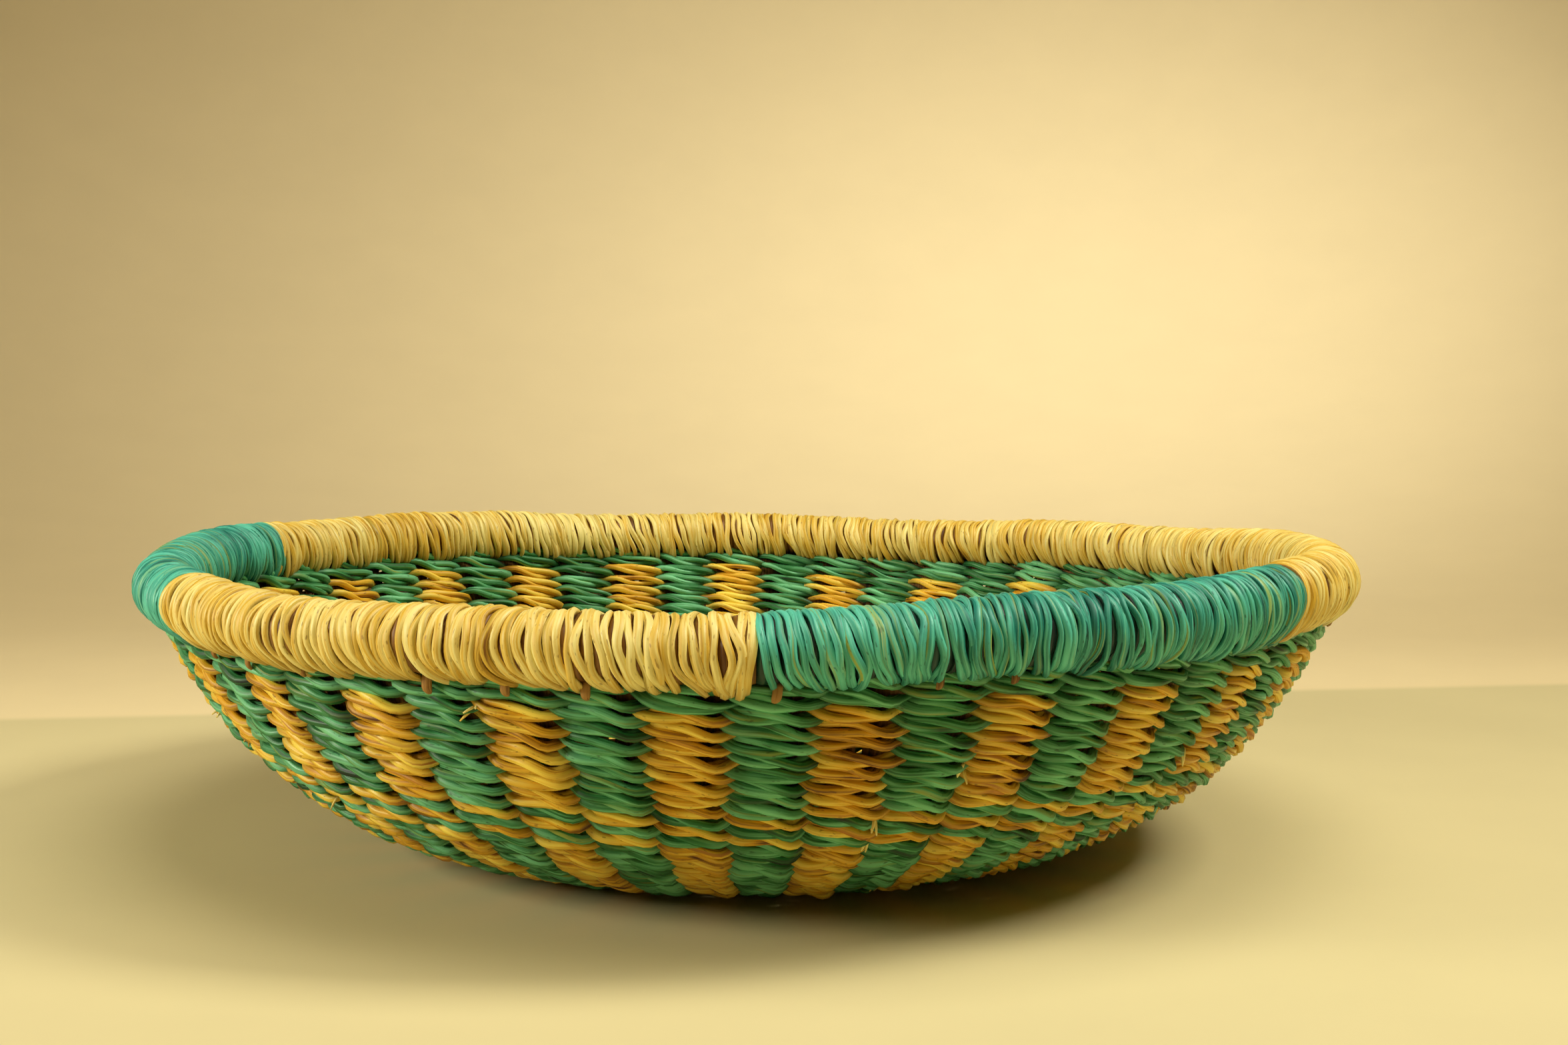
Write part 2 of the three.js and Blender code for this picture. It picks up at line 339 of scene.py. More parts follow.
@dataclass
class BowlShape:
    """The bowl's half section, as a line in the middle of its wall from the rim to the centre."""

    outer_radius: float
    height: float
    rim_radius: float
    core_radius: float
    base_radius: float
    wall_thickness: float
    wall_lean: float = math.radians(21)
    shoulder_fullness: float = 43 * MM
    foot_fullness: float = 57 * MM
    steps: int = 600
    depth: np.ndarray = field(init=False)
    section: np.ndarray = field(init=False)

    @classmethod
    def from_frame(cls) -> "BowlShape":
        """Reads the bowl's sizes from the frame's nodes."""
        low, high = CAD_BOX
        core_low, core_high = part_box("rim_core")
        rim_radius = high.z - (core_low.z + core_high.z) / 2
        return cls(
            outer_radius=(high.x - low.x) / 2,
            height=high.z,
            rim_radius=rim_radius,
            core_radius=(core_high.z - core_low.z) / 2,
            base_radius=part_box("base_bands_outer")[1].x,
            wall_thickness=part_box("base_bands_inner")[1].z,
        )

    def __post_init__(self) -> None:
        """Works out the wall's middle line and the directions along it."""
        lean = np.array([math.sin(self.wall_lean), math.cos(self.wall_lean)])
        top = np.array([self.ring_radius, self.ring_height]) - self.core_radius * lean
        foot = np.array([self.base_radius, self.wall_thickness / 2])
        pulls = (top - self.shoulder_fullness * lean, foot + [self.foot_fullness, 0.0])
        t = np.linspace(0, 1, self.steps)[:, None]
        wall = (
            (1 - t) ** 3 * top
            + 3 * (1 - t) ** 2 * t * pulls[0]
            + 3 * (1 - t) * t**2 * pulls[1]
            + t**3 * foot
        )
        base = np.stack([np.linspace(foot[0], 0.0, self.steps), np.full(self.steps, foot[1])], 1)[1:]
        line = np.concatenate([wall, base])
        self.depth = np.concatenate([[0], np.cumsum(np.linalg.norm(np.diff(line, axis=0), axis=1))])
        upward = -np.gradient(line, self.depth, axis=0)
        upward /= np.linalg.norm(upward, axis=1)[:, None]
        self.section = np.concatenate([line, upward], 1)
        self.wall_length = float(self.depth[self.steps - 1])

    @property
    def ring_radius(self) -> float:
        """The radius of the ring that the rim's middle follows."""
        return self.outer_radius - self.rim_radius

    @property
    def ring_height(self) -> float:
        """The height of the rim's middle."""
        return self.height - self.rim_radius

    def at(self, azimuth: np.ndarray, depth: np.ndarray) -> tuple[np.ndarray, np.ndarray, np.ndarray]:
        """Finds places on the middle of the wall and the base.

        Args:
            azimuth: angles round the bowl, from +X towards +Y.
            depth: distances down the wall from the rim.

        Returns:
            The points, the directions up the wall, and the directions out of it.
        """
        radius, height, up_r, up_z = (np.interp(depth, self.depth, c) for c in self.section.T)
        cos, sin = np.cos(azimuth), np.sin(azimuth)
        points = np.stack([radius * cos, radius * sin, height], -1)
        up = np.stack([up_r * cos, up_r * sin, up_z], -1)
        out = np.stack([up_z * cos, up_z * sin, -up_r], -1)
        return points, up, out

    def depth_at_radius(self, radius: float) -> float:
        """How far down the line a circle of the base lies.

        Args:
            radius: the circle's radius, no more than the base's.

        Returns:
            Its distance from the rim along the wall and the base.
        """
        return self.wall_length + self.base_radius - radius


@dataclass(frozen=True)
class HandWork:
    """The unevenness of a bowl made by eye: its rim rises and falls a little round the circle."""

    once: tuple[float, float] = (1.5 * MM, -2.1 * MM)
    twice: tuple[float, float] = (2.1 * MM, -2.0 * MM)
    ripple: float = 0.7 * MM
    ripple_count: int = 9
    fade: float = 1.5
    floor_gap: float = 0.1 * MM

    def shaped(self, points: np.ndarray, height: float) -> np.ndarray:
        """Lifts points as the rim rises, fading to nothing at the foot.

        Args:
            points: points of a piece on the true round shape.
            height: the bowl's height.

        Returns:
            The points as the maker's hands left them, none below the floor.
        """
        azimuth = np.arctan2(points[:, 1], points[:, 0])
        rise = (
            self.once[0] * np.cos(azimuth)
            + self.once[1] * np.sin(azimuth)
            + self.twice[0] * np.cos(2 * azimuth)
            + self.twice[1] * np.sin(2 * azimuth)
            + self.ripple * np.sin(self.ripple_count * azimuth)
        )
        share = np.clip(points[:, 2] / height, 0, 1) ** self.fade
        lifted = points.copy()
        lifted[:, 2] = np.maximum(points[:, 2] + rise * share, self.floor_gap)
        return lifted


@dataclass
class StrawMesh:
    """Gathers straws as swept tubes and makes one mesh of them."""

    shape: BowlShape
    hand: HandWork
    points: list[np.ndarray] = field(default_factory=list)
    faces: list[np.ndarray] = field(default_factory=list)
    strands: list[np.ndarray] = field(default_factory=list)
    tints: list[np.ndarray] = field(default_factory=list)
    count: int = 0

    def add(
        self,
        centres: np.ndarray,
        side: np.ndarray,
        half_side: np.ndarray,
        half_out: np.ndarray,
        tint: np.ndarray,
        start: np.ndarray,
        sides: int,
    ) -> None:
        """Sweeps an oval section along several straws and closes their ends.

        Args:
            centres: the straws' middle points, as (straws, samples, 3).
            side: roughly the direction of the section's width, as (straws, samples, 3).
            half_side: half the width, as (straws, samples).
            half_out: half the thickness, as (straws, samples).
            tint: tone and streak of the dye, and painted shade where the straw lies deep, as (straws,
                samples, 3).
            start: where each straw's pattern starts, in millimetres.
            sides: how many faces go round a straw.
        """
        straws, samples, _ = centres.shape
        run = np.gradient(centres, axis=1)
        run /= np.linalg.norm(run, axis=2)[..., None]
        side = side - run * np.sum(side * run, axis=2)[..., None]
        side = side / np.linalg.norm(side, axis=2)[..., None]
        out = np.cross(run, side)
        turn = np.arange(sides) * 2 * math.pi / sides
        across = half_side[..., None] * np.sin(turn)
        through = half_out[..., None] * np.cos(turn)
        ring = (
            centres[:, :, None]
            + side[:, :, None] * across[..., None]
            + out[:, :, None] * through[..., None]
        )
        length = np.cumsum(np.linalg.norm(np.diff(centres, axis=1, prepend=centres[:, :1]), axis=2), 1)
        along = np.broadcast_to((length / MM + start[:, None])[..., None], across.shape)
        strand = np.stack([along, across / MM + start[:, None, None], through / MM], -1)
        index = self.count + np.arange(straws * samples * sides).reshape(straws, samples, sides)
        here, ahead = index[:, :-1], index[:, 1:]
        quads = np.stack([here, ahead, np.roll(ahead, -1, 2), np.roll(here, -1, 2)], -1)
        self.faces.append(quads.reshape(-1, 4))
        self.faces.append(index[:, 0])
        self.faces.append(index[:, -1, ::-1])
        self.points.append(ring.reshape(-1, 3))
        self.strands.append(strand.reshape(-1, 3))
        self.tints.append(np.repeat(tint.reshape(-1, 3), sides, 0))
        self.count += ring.size // 3

    def build(self, name: str, dye: Dye, nodes: list[str]) -> bpy.types.Object:
        """Makes the piece, dresses it and ties it to the frame.

        Args:
            name: the piece's name.
            dye: the straw's colour.
            nodes: the frame's nodes that the piece stands for.

        Returns:
            The new object.
        """
        corners = np.concatenate([f.ravel() for f in self.faces])
        sizes = np.concatenate([np.full(len(f), f.shape[1]) for f in self.faces])
        points = self.hand.shaped(np.concatenate(self.points), self.shape.height)
        mesh = bpy.data.meshes.new(name)
        mesh.vertices.add(self.count)
        mesh.vertices.foreach_set("co", points.astype(np.float32).ravel())
        mesh.loops.add(len(corners))
        mesh.loops.foreach_set("vertex_index", corners.astype(np.int32))
        mesh.polygons.add(len(sizes))
        mesh.polygons.foreach_set("loop_start", (np.cumsum(sizes) - sizes).astype(np.int32))
        mesh.polygons.foreach_set("use_smooth", np.ones(len(sizes), bool))
        mesh.update(calc_edges=True)
        for attribute, values in (("strand", self.strands), ("tint", self.tints)):
            layer = mesh.attributes.new(attribute, "FLOAT_VECTOR", "POINT")
            layer.data.foreach_set("vector", np.concatenate(values).astype(np.float32).ravel())
        piece = bpy.data.objects.new(name, mesh)
        bpy.context.scene.collection.objects.link(piece)
        mesh.materials.append(MATERIALS[dye])
        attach(piece, BODY)
        if nodes:
            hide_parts(*nodes)
        LOG.info("%s: %d faces", name, len(sizes))
        return piece


def wander(rng: np.random.Generator, size: tuple[int, ...], spread: int = 0) -> np.ndarray:
    """Random values that change smoothly along their last axis.

    Args:
        rng: the seeded source.
        size: the shape of the result.
        spread: how many neighbours share a drift.

    Returns:
        Values about zero, with a deviation of one.
    """
    values = rng.normal(size=(*size[:-1], size[-1] + 2 * spread))
    window = np.hanning(2 * spread + 3)[1:-1]
    window /= math.sqrt(np.sum(window**2))
    return np.apply_along_axis(np.convolve, -1, values, window, "valid")


@dataclass(frozen=True)
class StitchDrift:
    """How much stitches differ from one another, each as a usual amount."""

    beat: float = 0.05  # of a stitch
    out: float = 0.2 * MM
    slant: float = 0.2
    up: float = 0.15 * MM
    lay: float = 0.22  # radians
    ply_out: float = 0.25 * MM
    ply_up: float = 0.18 * MM
    girth: float = 0.13
    tone: float = 0.22
    streak: float = 0.4


@dataclass
class TwinedZone:
    """Some rows of twining: two cords that pass in turn outside and inside the stakes."""

    name: str
    depth: float
    rows: int
    cords: tuple[Dye, Dye]
    stakes: int = STAKE_COUNT
    first_stake: float = 0.0
    start: float = SEAM_STAKE
    inverted: bool = False
    node: str = ""
    row_pitch: float = 4.6 * MM
    swing: float = 3.0 * MM
    slant: float = 1.5 * MM
    ply_offset: float = 1.3 * MM
    half_width: float = 1.2 * MM
    half_depth: float = 1.5 * MM
    sharpness: float = 2.0
    crossing: float = 1.12  # how full a ply is where the cords cross, against its middle
    skew: float = 0.18
    short_stitch: float = 12 * MM
    foot_settle: float = 0.9 * MM
    foot_length: float = 25 * MM
    uneven: StitchDrift = StitchDrift()
    end_fullness: float = 0.5
    samples: int = 12
    sides: int = 7

    def weave(self, shape: BowlShape, hand: HandWork, seed: int) -> list[bpy.types.Object]:
        """Builds one piece for each colour of cord in the zone.

        Args:
            shape: the bowl's section.
            hand: how uneven the maker's work is.
            seed: the source of the small differences between stitches.

        Returns:
            The pieces.
        """
        rng = np.random.default_rng(seed)
        meshes = {dye: StrawMesh(shape, hand) for dye in self.cords}
        for number, dye in enumerate(self.cords):
            self._lay_cord(meshes[dye], shape, number, rng)
        outer, inner = f"{self.node or self.name}_outer", f"{self.node or self.name}_inner"
        pieces = []
        for dye, mesh in meshes.items():
            nodes = [outer, inner] if len(meshes) == 1 else [outer if dye is self.cords[0] else inner]
            pieces.append(mesh.build(f"{dye.name.lower()}_cord_{self.name}", dye, nodes))
        return pieces

    def _lay_cord(self, mesh: StrawMesh, shape: BowlShape, number: int, rng: np.random.Generator) -> None:
        """Sweeps the two plies of one cord along the zone's rows.

        Args:
            mesh: what the plies are added to.
            shape: the bowl's section.
            number: 0 for the first cord and 1 for the second.
            rng: the source of the small differences between stitches.
        """
        stitches = self.rows * self.stakes
        k = self.start + np.arange(stitches * self.samples + 1) / self.samples
        azimuth = STAKE_TURN + self.first_stake * STAKE_ANGLE + k * 2 * math.pi / self.stakes
        depth = self.depth + (k - self.start) / self.stakes * self.row_pitch
        points, up, out = shape.at(azimuth, depth)
        stitch_length = np.linalg.norm(points[:, :2], axis=1) * 2 * math.pi / self.stakes
        tight = np.clip(stitch_length / self.short_stitch, 0.5, 1.0)
        past_foot = (depth - shape.wall_length) / self.foot_length + 1
        settle = self.foot_settle * np.clip(past_foot, 0, 1)
        uneven = self.uneven

        half_stitches = np.arange(2 * stitches + 2)
        where = (k - self.start) * 2

        def drift(amount: float) -> np.ndarray:
            """A value that changes from stitch to stitch, by about the amount given."""
            return amount * np.interp(where, half_stitches, wander(rng, (len(half_stitches),)))

        beat = k - self.skew * np.cos(math.pi * k) ** 2 + number + self.inverted + drift(uneven.beat)
        swing = np.tanh(self.sharpness * np.cos(math.pi * beat)) / math.tanh(self.sharpness)
        centre_out = self.swing * tight * swing + drift(uneven.out) - settle
        leaning = self.slant * (1 + drift(uneven.slant)) * np.sin(math.pi * beat)
        centre_up = drift(uneven.up) - leaning
        # Painted shade: darkest where the cord passes through between the stakes, from one face of the
        # wall to the other.
        painted_shade = 1 - np.abs(swing)
        for ply in (0, 1):
            lay = math.pi * (k + ply) + drift(uneven.lay)
            ply_out = centre_out + self.ply_offset * np.sin(lay) * tight + drift(uneven.ply_out)
            ply_up = centre_up + self.ply_offset * np.cos(lay) + drift(uneven.ply_up)
            centres = points + out * ply_out[:, None] + up * ply_up[:, None]
            fullness = (1 + drift(uneven.girth)) * (self.crossing + (1 - self.crossing) * np.abs(swing))
            ends = np.ones(len(k))
            ends[[0, -1]] = self.end_fullness
            tone = np.clip(0.5 + drift(uneven.tone), 0, 1)
            streak = np.clip(0.5 + drift(uneven.streak), 0, 1)
            mesh.add(
                centres[None],
                up[None],
                (self.half_width * fullness * ends)[None],
                (self.half_depth * fullness * ends * tight)[None],
                np.stack([tone, streak, painted_shade], -1)[None],
                rng.uniform(0, PATTERN_SPAN, 1),
                self.sides,
            )


@dataclass
class TwinedWall:
    """The wall and the base: every zone of twining from the border to the centre."""

    shape: BowlShape
    hand: HandWork
    base_samples: int = 8
    base_sides: int = 6

    def zones(self) -> list[TwinedZone]:
        """Lists the zones from the rim down, each starting where the last one ends.

        Returns:
            The zones of the wall, then those of the base.
        """
        gold_outside_odd = (Dye.GOLD, Dye.GREEN)
        plan = [
            ("border_rows", 2, (Dye.GREEN, Dye.GREEN), False),
            ("upper_bands", 8, gold_outside_odd, False),
            ("turn_row_1", 1, gold_outside_odd, True),
            ("turn_row_2", 1, gold_outside_odd, False),
            ("turn_row_3", 1, gold_outside_odd, True),
            ("lower_bands", 8, gold_outside_odd, False),
            ("foot_bands", 9, gold_outside_odd, False),
        ]
        pitch = self.shape.wall_length / WALL_ROWS
        made, row = [], 0
        for name, rows, cords, inverted in plan:
            made.append(
                TwinedZone(name, row * pitch, rows, cords, inverted=not inverted, row_pitch=pitch)
            )
            row += rows
        base = {"row_pitch": pitch, "samples": self.base_samples, "sides": self.base_sides}
        end = self.shape.wall_length
        made.append(TwinedZone("base_bands", end, 3, gold_outside_odd, inverted=True, **base))
        made.append(
            TwinedZone(
                "base_middle",
                end + 3 * pitch,
                8,
                gold_outside_odd,
                stakes=26,
                first_stake=-0.5,
                start=7.5,
                node="base_bands",
                **base,
            )
        )
        made.append(
            TwinedZone(
                "centre_swirl",
                end + 11 * pitch,
                4,
                (Dye.GREEN, Dye.GOLD),
                stakes=13,
                first_stake=0.5,
                start=3.5,
                **base,
            )
        )
        return made

    def build(self) -> None:
        """Weaves every zone."""
        for seed, zone in enumerate(self.zones()):
            zone.weave(self.shape, self.hand, seed + 1)


@dataclass
class StakeBundles:
    """Straw stakes that run from the centre to the rim, forking twice on the way."""

    shape: BowlShape
    hand: HandWork
    bundles: int = 13
    first_fork: float = 24 * MM
    second_fork: float = 58 * MM
    fork_length: float = 10 * MM
    start_radius: float = 6 * MM
    half_width: float = 1.3 * MM
    half_thickness: float = 1.1 * MM
    bundle_spacing: float = 1.1 * MM
    # The sheet that stands for the shaded hollow between stakes: its gap from the stakes and half its
    # thickness.
    shade_sheet_gap: float = 0.6 * MM
    shade_sheet_half_thickness: float = 0.35 * MM
    stalk_places: tuple[float, ...] = (-1.5, -0.5, 0.5, 1.5)  # across a bundle, in stalks
    stalk_lift: float = 0.35 * MM  # every other stalk of a bundle lies a little proud
    pair_closing: float = 0.6
    samples: int = 70
    sides: int = 6

    def build(self) -> None:
        """Builds each bundle as four stalks, which lie together until the bundle forks."""
        rng = np.random.default_rng(41)
        depth = np.linspace(self.shape.depth_at_radius(self.start_radius), 1 * MM, self.samples)
        radius = np.interp(depth, self.shape.depth, self.shape.section[:, 0])
        parted_once = np.clip((radius - self.first_fork) / self.fork_length, 0, 1)
        parted_twice = np.clip((radius - self.second_fork) / self.fork_length, 0, 1)
        for number in range(self.bundles):
            mesh = StrawMesh(self.shape, self.hand)
            middle = STAKE_TURN + (4 * number + 0.5) * STAKE_ANGLE
            for stalk, place in enumerate(self.stalk_places):
                pair = math.copysign(1.0, place)
                together = place * self.bundle_spacing / radius
                apart = pair * STAKE_ANGLE * parted_once + (place - pair) * STAKE_ANGLE * parted_twice
                closing = (1 - parted_once * self.pair_closing) * (1 - parted_twice)
                azimuth = middle + apart + together * closing
                points, up, out = self.shape.at(azimuth, depth)
                side = np.cross(out, up)
                full = np.full((1, self.samples), 1.0)
                tint = np.broadcast_to(rng.uniform(0.2, 0.7, 3) * [1, 1, 0], (1, self.samples, 3))
                lift = self.stalk_lift * (-1) ** stalk * (1 - parted_twice)
                mesh.add(
                    (points + out * lift[:, None])[None],
                    side[None],
                    full * self.half_width,
                    full * self.half_thickness,
                    tint,
                    rng.uniform(0, PATTERN_SPAN, 1),
                    self.sides,
                )
                self._add_shade_sheet(mesh, middle + (place + 0.5) * STAKE_ANGLE, rng)
            name = f"stake_bundle_{number + 1:02d}"
            mesh.build(f"stakes_{number + 1:02d}", Dye.PLAIN, [name])

    def _add_shade_sheet(self, mesh: StrawMesh, azimuth: float, rng: np.random.Generator) -> None:
        """Adds a flat sheet of plain straw between two stakes of the wall. It closes the holes in the
        weave, and its dark brown, a little darker than the stakes, is painted shade for the hollow between
        the stakes.

        Args:
            mesh: what the leaf is added to.
            azimuth: the leaf's place round the bowl.
            rng: the source of the small differences between leaves.
        """
        inner = self.shape.depth_at_radius(self.second_fork + self.fork_length)
        depth = np.linspace(inner, 2 * MM, self.samples // 2)
        points, up, out = self.shape.at(np.full(len(depth), azimuth), depth)
        radius = np.linalg.norm(points[:, :2], axis=1)
        half_side = radius * STAKE_ANGLE / 2 - self.half_width - self.shade_sheet_gap
        # The third part, 0.2, is light painted shade for the sheet that lies inside the wall.
        tint = np.broadcast_to([rng.uniform(0.1, 0.5), 0.3, 0.2], (1, len(depth), 3))
        mesh.add(
            points[None],
            np.cross(out, up)[None],
            half_side[None],
            np.full((1, len(depth)), self.shade_sheet_half_thickness),
            tint,
            rng.uniform(0, PATTERN_SPAN, 1),
            self.sides,
        )


@dataclass
class WrappedRim:
    """The rim: a bundle of brown straw bound over closely with natural and teal grass."""

    shape: BowlShape
    hand: HandWork
    fullness: float = 0.54  # half a wrap's width against the wrap pitch
    half_thickness: float = 0.9 * MM
    lip: float = 1.7 * MM
    slant: float = 1.2 * MM
    slant_at_wall: float = 3.4 * MM
    gather: float = 0.3  # how far the wraps close up where they pass between two stakes
    gather_inside: float = 0.12
    gather_reach: float = math.radians(58)
    sway: float = 0.45 * MM
    kinks: float = 0.34 * MM
    layering: float = 0.36 * MM
    samples: int = 34
    sides: int = 6
    lean_drift: float = 1.2 * MM
    stray: tuple[float, float] = (0.72 * MM, 0.81 * MM)  # at the wall, alone and as a group
    slow_sway: float = 0.36 * MM
    quick_kinks: float = 0.17 * MM
    hang_drift: tuple[float, float] = (0.5 * MM, 0.4 * MM)  # alone and as a group
    lip_angle: float = math.radians(40)
    # How far round the rim from the wall the painted shade reaches.
    painted_shade_angle: float = math.radians(45)
    end_angle: float = math.radians(8)
    straight_end: float = 6 * MM  # near a section's end the wraps lie straighter
    end_sway: float = 0.3
    tie_length: float = 9 * MM  # the last wraps of a section are drawn together and hang lower
    tie_pull: float = 3.5 * MM
    tie_hang: float = 1.5 * MM
    girth_drift: float = 0.14
    girth_ripple: float = 0.08
    flatness_drift: float = 0.1
    most_drift: float = 1.8
    middle_tone: float = 0.56
    tone_drift: tuple[float, float, float] = (0.06, 0.06, 0.07)  # slow, as a group and alone
    middle_streak: float = 0.45
    streak_drift: float = 0.35
    lining_pitch: float = 3.2 * MM
    lining_half_thickness: float = 0.4 * MM
    lining_fullness: float = 0.54
    lining_samples: int = 18
    lining_sides: int = 4
    lining_end: float = math.radians(10)
    # Painted shade on the lining, above one so that its colour is drawn far towards the dark tone.
    lining_painted_shade: float = 1.7
    core_strands: int = 14
    core_turns: int = 9
    core_half_width: float = 1.5 * MM
    core_half_thickness: float = 1.2 * MM
    core_inset: float = 0.5 * MM
    core_sway: float = 0.15 * MM
    core_samples: int = 220

    def ring(self, azimuth: np.ndarray, turn: np.ndarray, reach: np.ndarray) -> np.ndarray:
        """Finds points about the rim's middle line.

        Args:
            azimuth: angles round the bowl.
            turn: angles about the rim, from the wall outwards and over.
            reach: distances from the rim's middle line.

        Returns:
            The points.
        """
        lean = self.shape.wall_lean
        away = reach * (-np.cos(turn) * math.sin(lean) + np.sin(turn) * math.cos(lean))
        height = reach * (-np.cos(turn) * math.cos(lean) - np.sin(turn) * math.sin(lean))
        radius = self.shape.ring_radius + away
        return np.stack(
            [radius * np.cos(azimuth), radius * np.sin(azimuth), self.shape.ring_height + height], -1
        )

    def build(self) -> None:
        """Builds the rim bundle and the wraps over it."""
        self._build_core()
        rng = np.random.default_rng(7)
        for node, dye, start, end, pitch in (
            ("rim_wrap_teal_left", Dye.TEAL, 161.0, 212.0, 2.1 * MM),
            ("rim_wrap_natural_front", Dye.NATURAL, 212.0, 271.5, 2.5 * MM),
            ("rim_wrap_teal_right", Dye.TEAL, 271.5, 323.5, 2.1 * MM),
            ("rim_wrap_natural_back", Dye.NATURAL, 323.5, 521.0, 2.4 * MM),
        ):
            self._build_wraps(node, dye, math.radians(start), math.radians(end), pitch, rng)

    def _build_core(self) -> None:
        """Lays the rim bundle's stalks in a slow twist round the bowl."""
        rng = np.random.default_rng(3)
        mesh = StrawMesh(self.shape, self.hand)
        azimuth = np.linspace(0, 2 * math.pi, self.core_samples)
        stalk = np.arange(self.core_strands)[:, None] * 2 * math.pi / self.core_strands
        turn = stalk + self.core_turns * azimuth
        sway = self.core_sway * np.sin(5 * azimuth + 3 * stalk)
        reach = self.shape.core_radius - self.core_inset + sway
        centres = self.ring(np.broadcast_to(azimuth, turn.shape), turn, reach)
        inward = self.ring(np.broadcast_to(azimuth, turn.shape), turn + math.pi / 2, reach) - centres
        full = np.ones(turn.shape)
        tint = np.broadcast_to(
            rng.uniform(0.1, 0.8, (self.core_strands, 1, 3)) * [1, 1, 0], (*turn.shape, 3)
        )
        mesh.add(
            centres,
            inward,
            full * self.core_half_width,
            full * self.core_half_thickness,
            tint,
            rng.uniform(0, PATTERN_SPAN, len(turn)),
            self.sides,
        )
        mesh.build("rim_bundle", Dye.PLAIN, ["rim_core"])

    def _build_wraps(
        self, node: str, dye: Dye, start: float, end: float, pitch: float, rng: np.random.Generator
    ) -> None:
        """Binds one length of the rim with one colour of grass.

        Args:
            node: the frame's node that the wraps stand for.
            dye: the grass's colour.
            start: the azimuth of the first wrap.
            end: the azimuth after the last wrap.
            pitch: the distance between wraps at the rim's outside.
            rng: the source of the small differences between wraps.
        """
        outer_radius = self.shape.outer_radius
        count = round((end - start) * outer_radius / pitch)
        place = start + (np.arange(count) + 0.5) / count * (end - start)
        turn = np.linspace(self.end_angle, 2 * math.pi - self.end_angle, self.samples)
        group = wander(rng, (4, count), 2)[..., None]
        loose = wander(rng, (6, count))[..., None]
        lean = wander(rng, (count,), 9)[:, None]
        side_step = (self.slant + self.lean_drift * lean) * np.cos(turn / 2)
        side_step = side_step + self._gathered(place, turn, group[2], loose[3])
        side_step += self.sway * group[0] * np.sin(turn)
        side_step += self.slow_sway * group[1] * np.sin(2 * turn + 2 * group[2])
        side_step += self.sway * loose[0] * np.sin(1.5 * turn + 2 * loose[1])
        side_step += self.kinks * loose[2] * np.sin(3.3 * turn + 3 * loose[3])
        side_step += self.quick_kinks * np.sin(5.5 * turn + 5 * loose[0])
        to_end = np.minimum(place - start, end - place) * outer_radius / self.straight_end
        side_step *= (self.end_sway + (1 - self.end_sway) * np.clip(to_end, 0, 1))[:, None]
        tie_off = np.exp(-(((end - place) * outer_radius / self.tie_length) ** 2))[:, None]
        side_step -= self.tie_pull * tie_off * np.cos(turn / 2) ** 3
        from_wall = np.minimum(turn, 2 * math.pi - turn)
        hang = self.lip + self.hang_drift[0] * loose[4] + self.hang_drift[1] * group[3]
        reach = (
            self.shape.rim_radius
            - self.half_thickness
            + (hang + self.tie_hang * tie_off) * np.exp(-((from_wall / self.lip_angle) ** 2))
            - self.layering / 2
            + self.layering * np.sin(2.4 * turn + 4 * loose[5])
        )
        azimuth = place[:, None] + side_step / outer_radius
        centres = self.ring(azimuth, np.broadcast_to(turn, azimuth.shape), reach)
        side = np.stack([-np.sin(azimuth), np.cos(azimuth), np.zeros_like(azimuth)], -1)
        drift = np.clip(loose[1], -self.most_drift, self.most_drift)
        girth = 1 + self.girth_drift * drift + self.girth_ripple * np.sin(2.5 * turn + 3 * loose[0])
        flat = 1 - self.flatness_drift * drift + np.zeros_like(turn)
        slow, grouped, alone = self.tone_drift
        tone = self.middle_tone + slow * lean + grouped * group[0] + alone * loose[3]
        tone = tone + np.zeros_like(turn)
        streak = np.clip(self.middle_streak + self.streak_drift * loose[2], 0, 1) + np.zeros_like(turn)
        # Painted shade: the wraps are darker where they bend in under the rim and into the wall, on both
        # faces.
        painted_shade = np.clip(1.25 - from_wall / self.painted_shade_angle, 0, 1) + np.zeros_like(tone)
        mesh = StrawMesh(self.shape, self.hand)
        mesh.add(
            centres,
            side,
            self.fullness * pitch * girth,
            self.half_thickness * flat,
            np.stack([np.clip(tone, 0, 1), streak, painted_shade], -1),
            rng.uniform(0, PATTERN_SPAN, count),
            self.sides,
        )
        self._add_lining(mesh, start, end, rng)
        mesh.build(node.replace("rim_wrap", "grass_wraps"), dye, [node])

    def _gathered(
        self, place: np.ndarray, turn: np.ndarray, group: np.ndarray, loose: np.ndarray
    ) -> np.ndarray:
        """Draws the wraps together where they pass through the wall between two stakes.

        Args:
            place: the azimuth of each wrap.
            turn: angles about the rim, from the wall outwards and over.
            group: how far each wrap strays with its neighbours.
            loose: how far it strays by itself.

        Returns:
            How far each wrap is drawn aside, as (wraps, angles).
        """
        radius = self.shape.outer_radius
        stray = self.stray[0] * loose + self.stray[1] * group
        drawn = np.zeros((len(place), len(turn)))
        for from_face, shift, gather in (
            (turn, self.slant_at_wall, self.gather),
            (2 * math.pi - turn, -self.slant_at_wall, self.gather_inside),
        ):
            at_wall = place + shift / radius
            gap = STAKE_TURN + (np.floor((at_wall - STAKE_TURN) / STAKE_ANGLE) + 0.5) * STAKE_ANGLE
            pull = shift + gather * (gap - at_wall) * radius
            near_wall = np.exp(-((from_face / self.gather_reach) ** 2))
            drawn += (pull[:, None] + stray) * near_wall
        return drawn

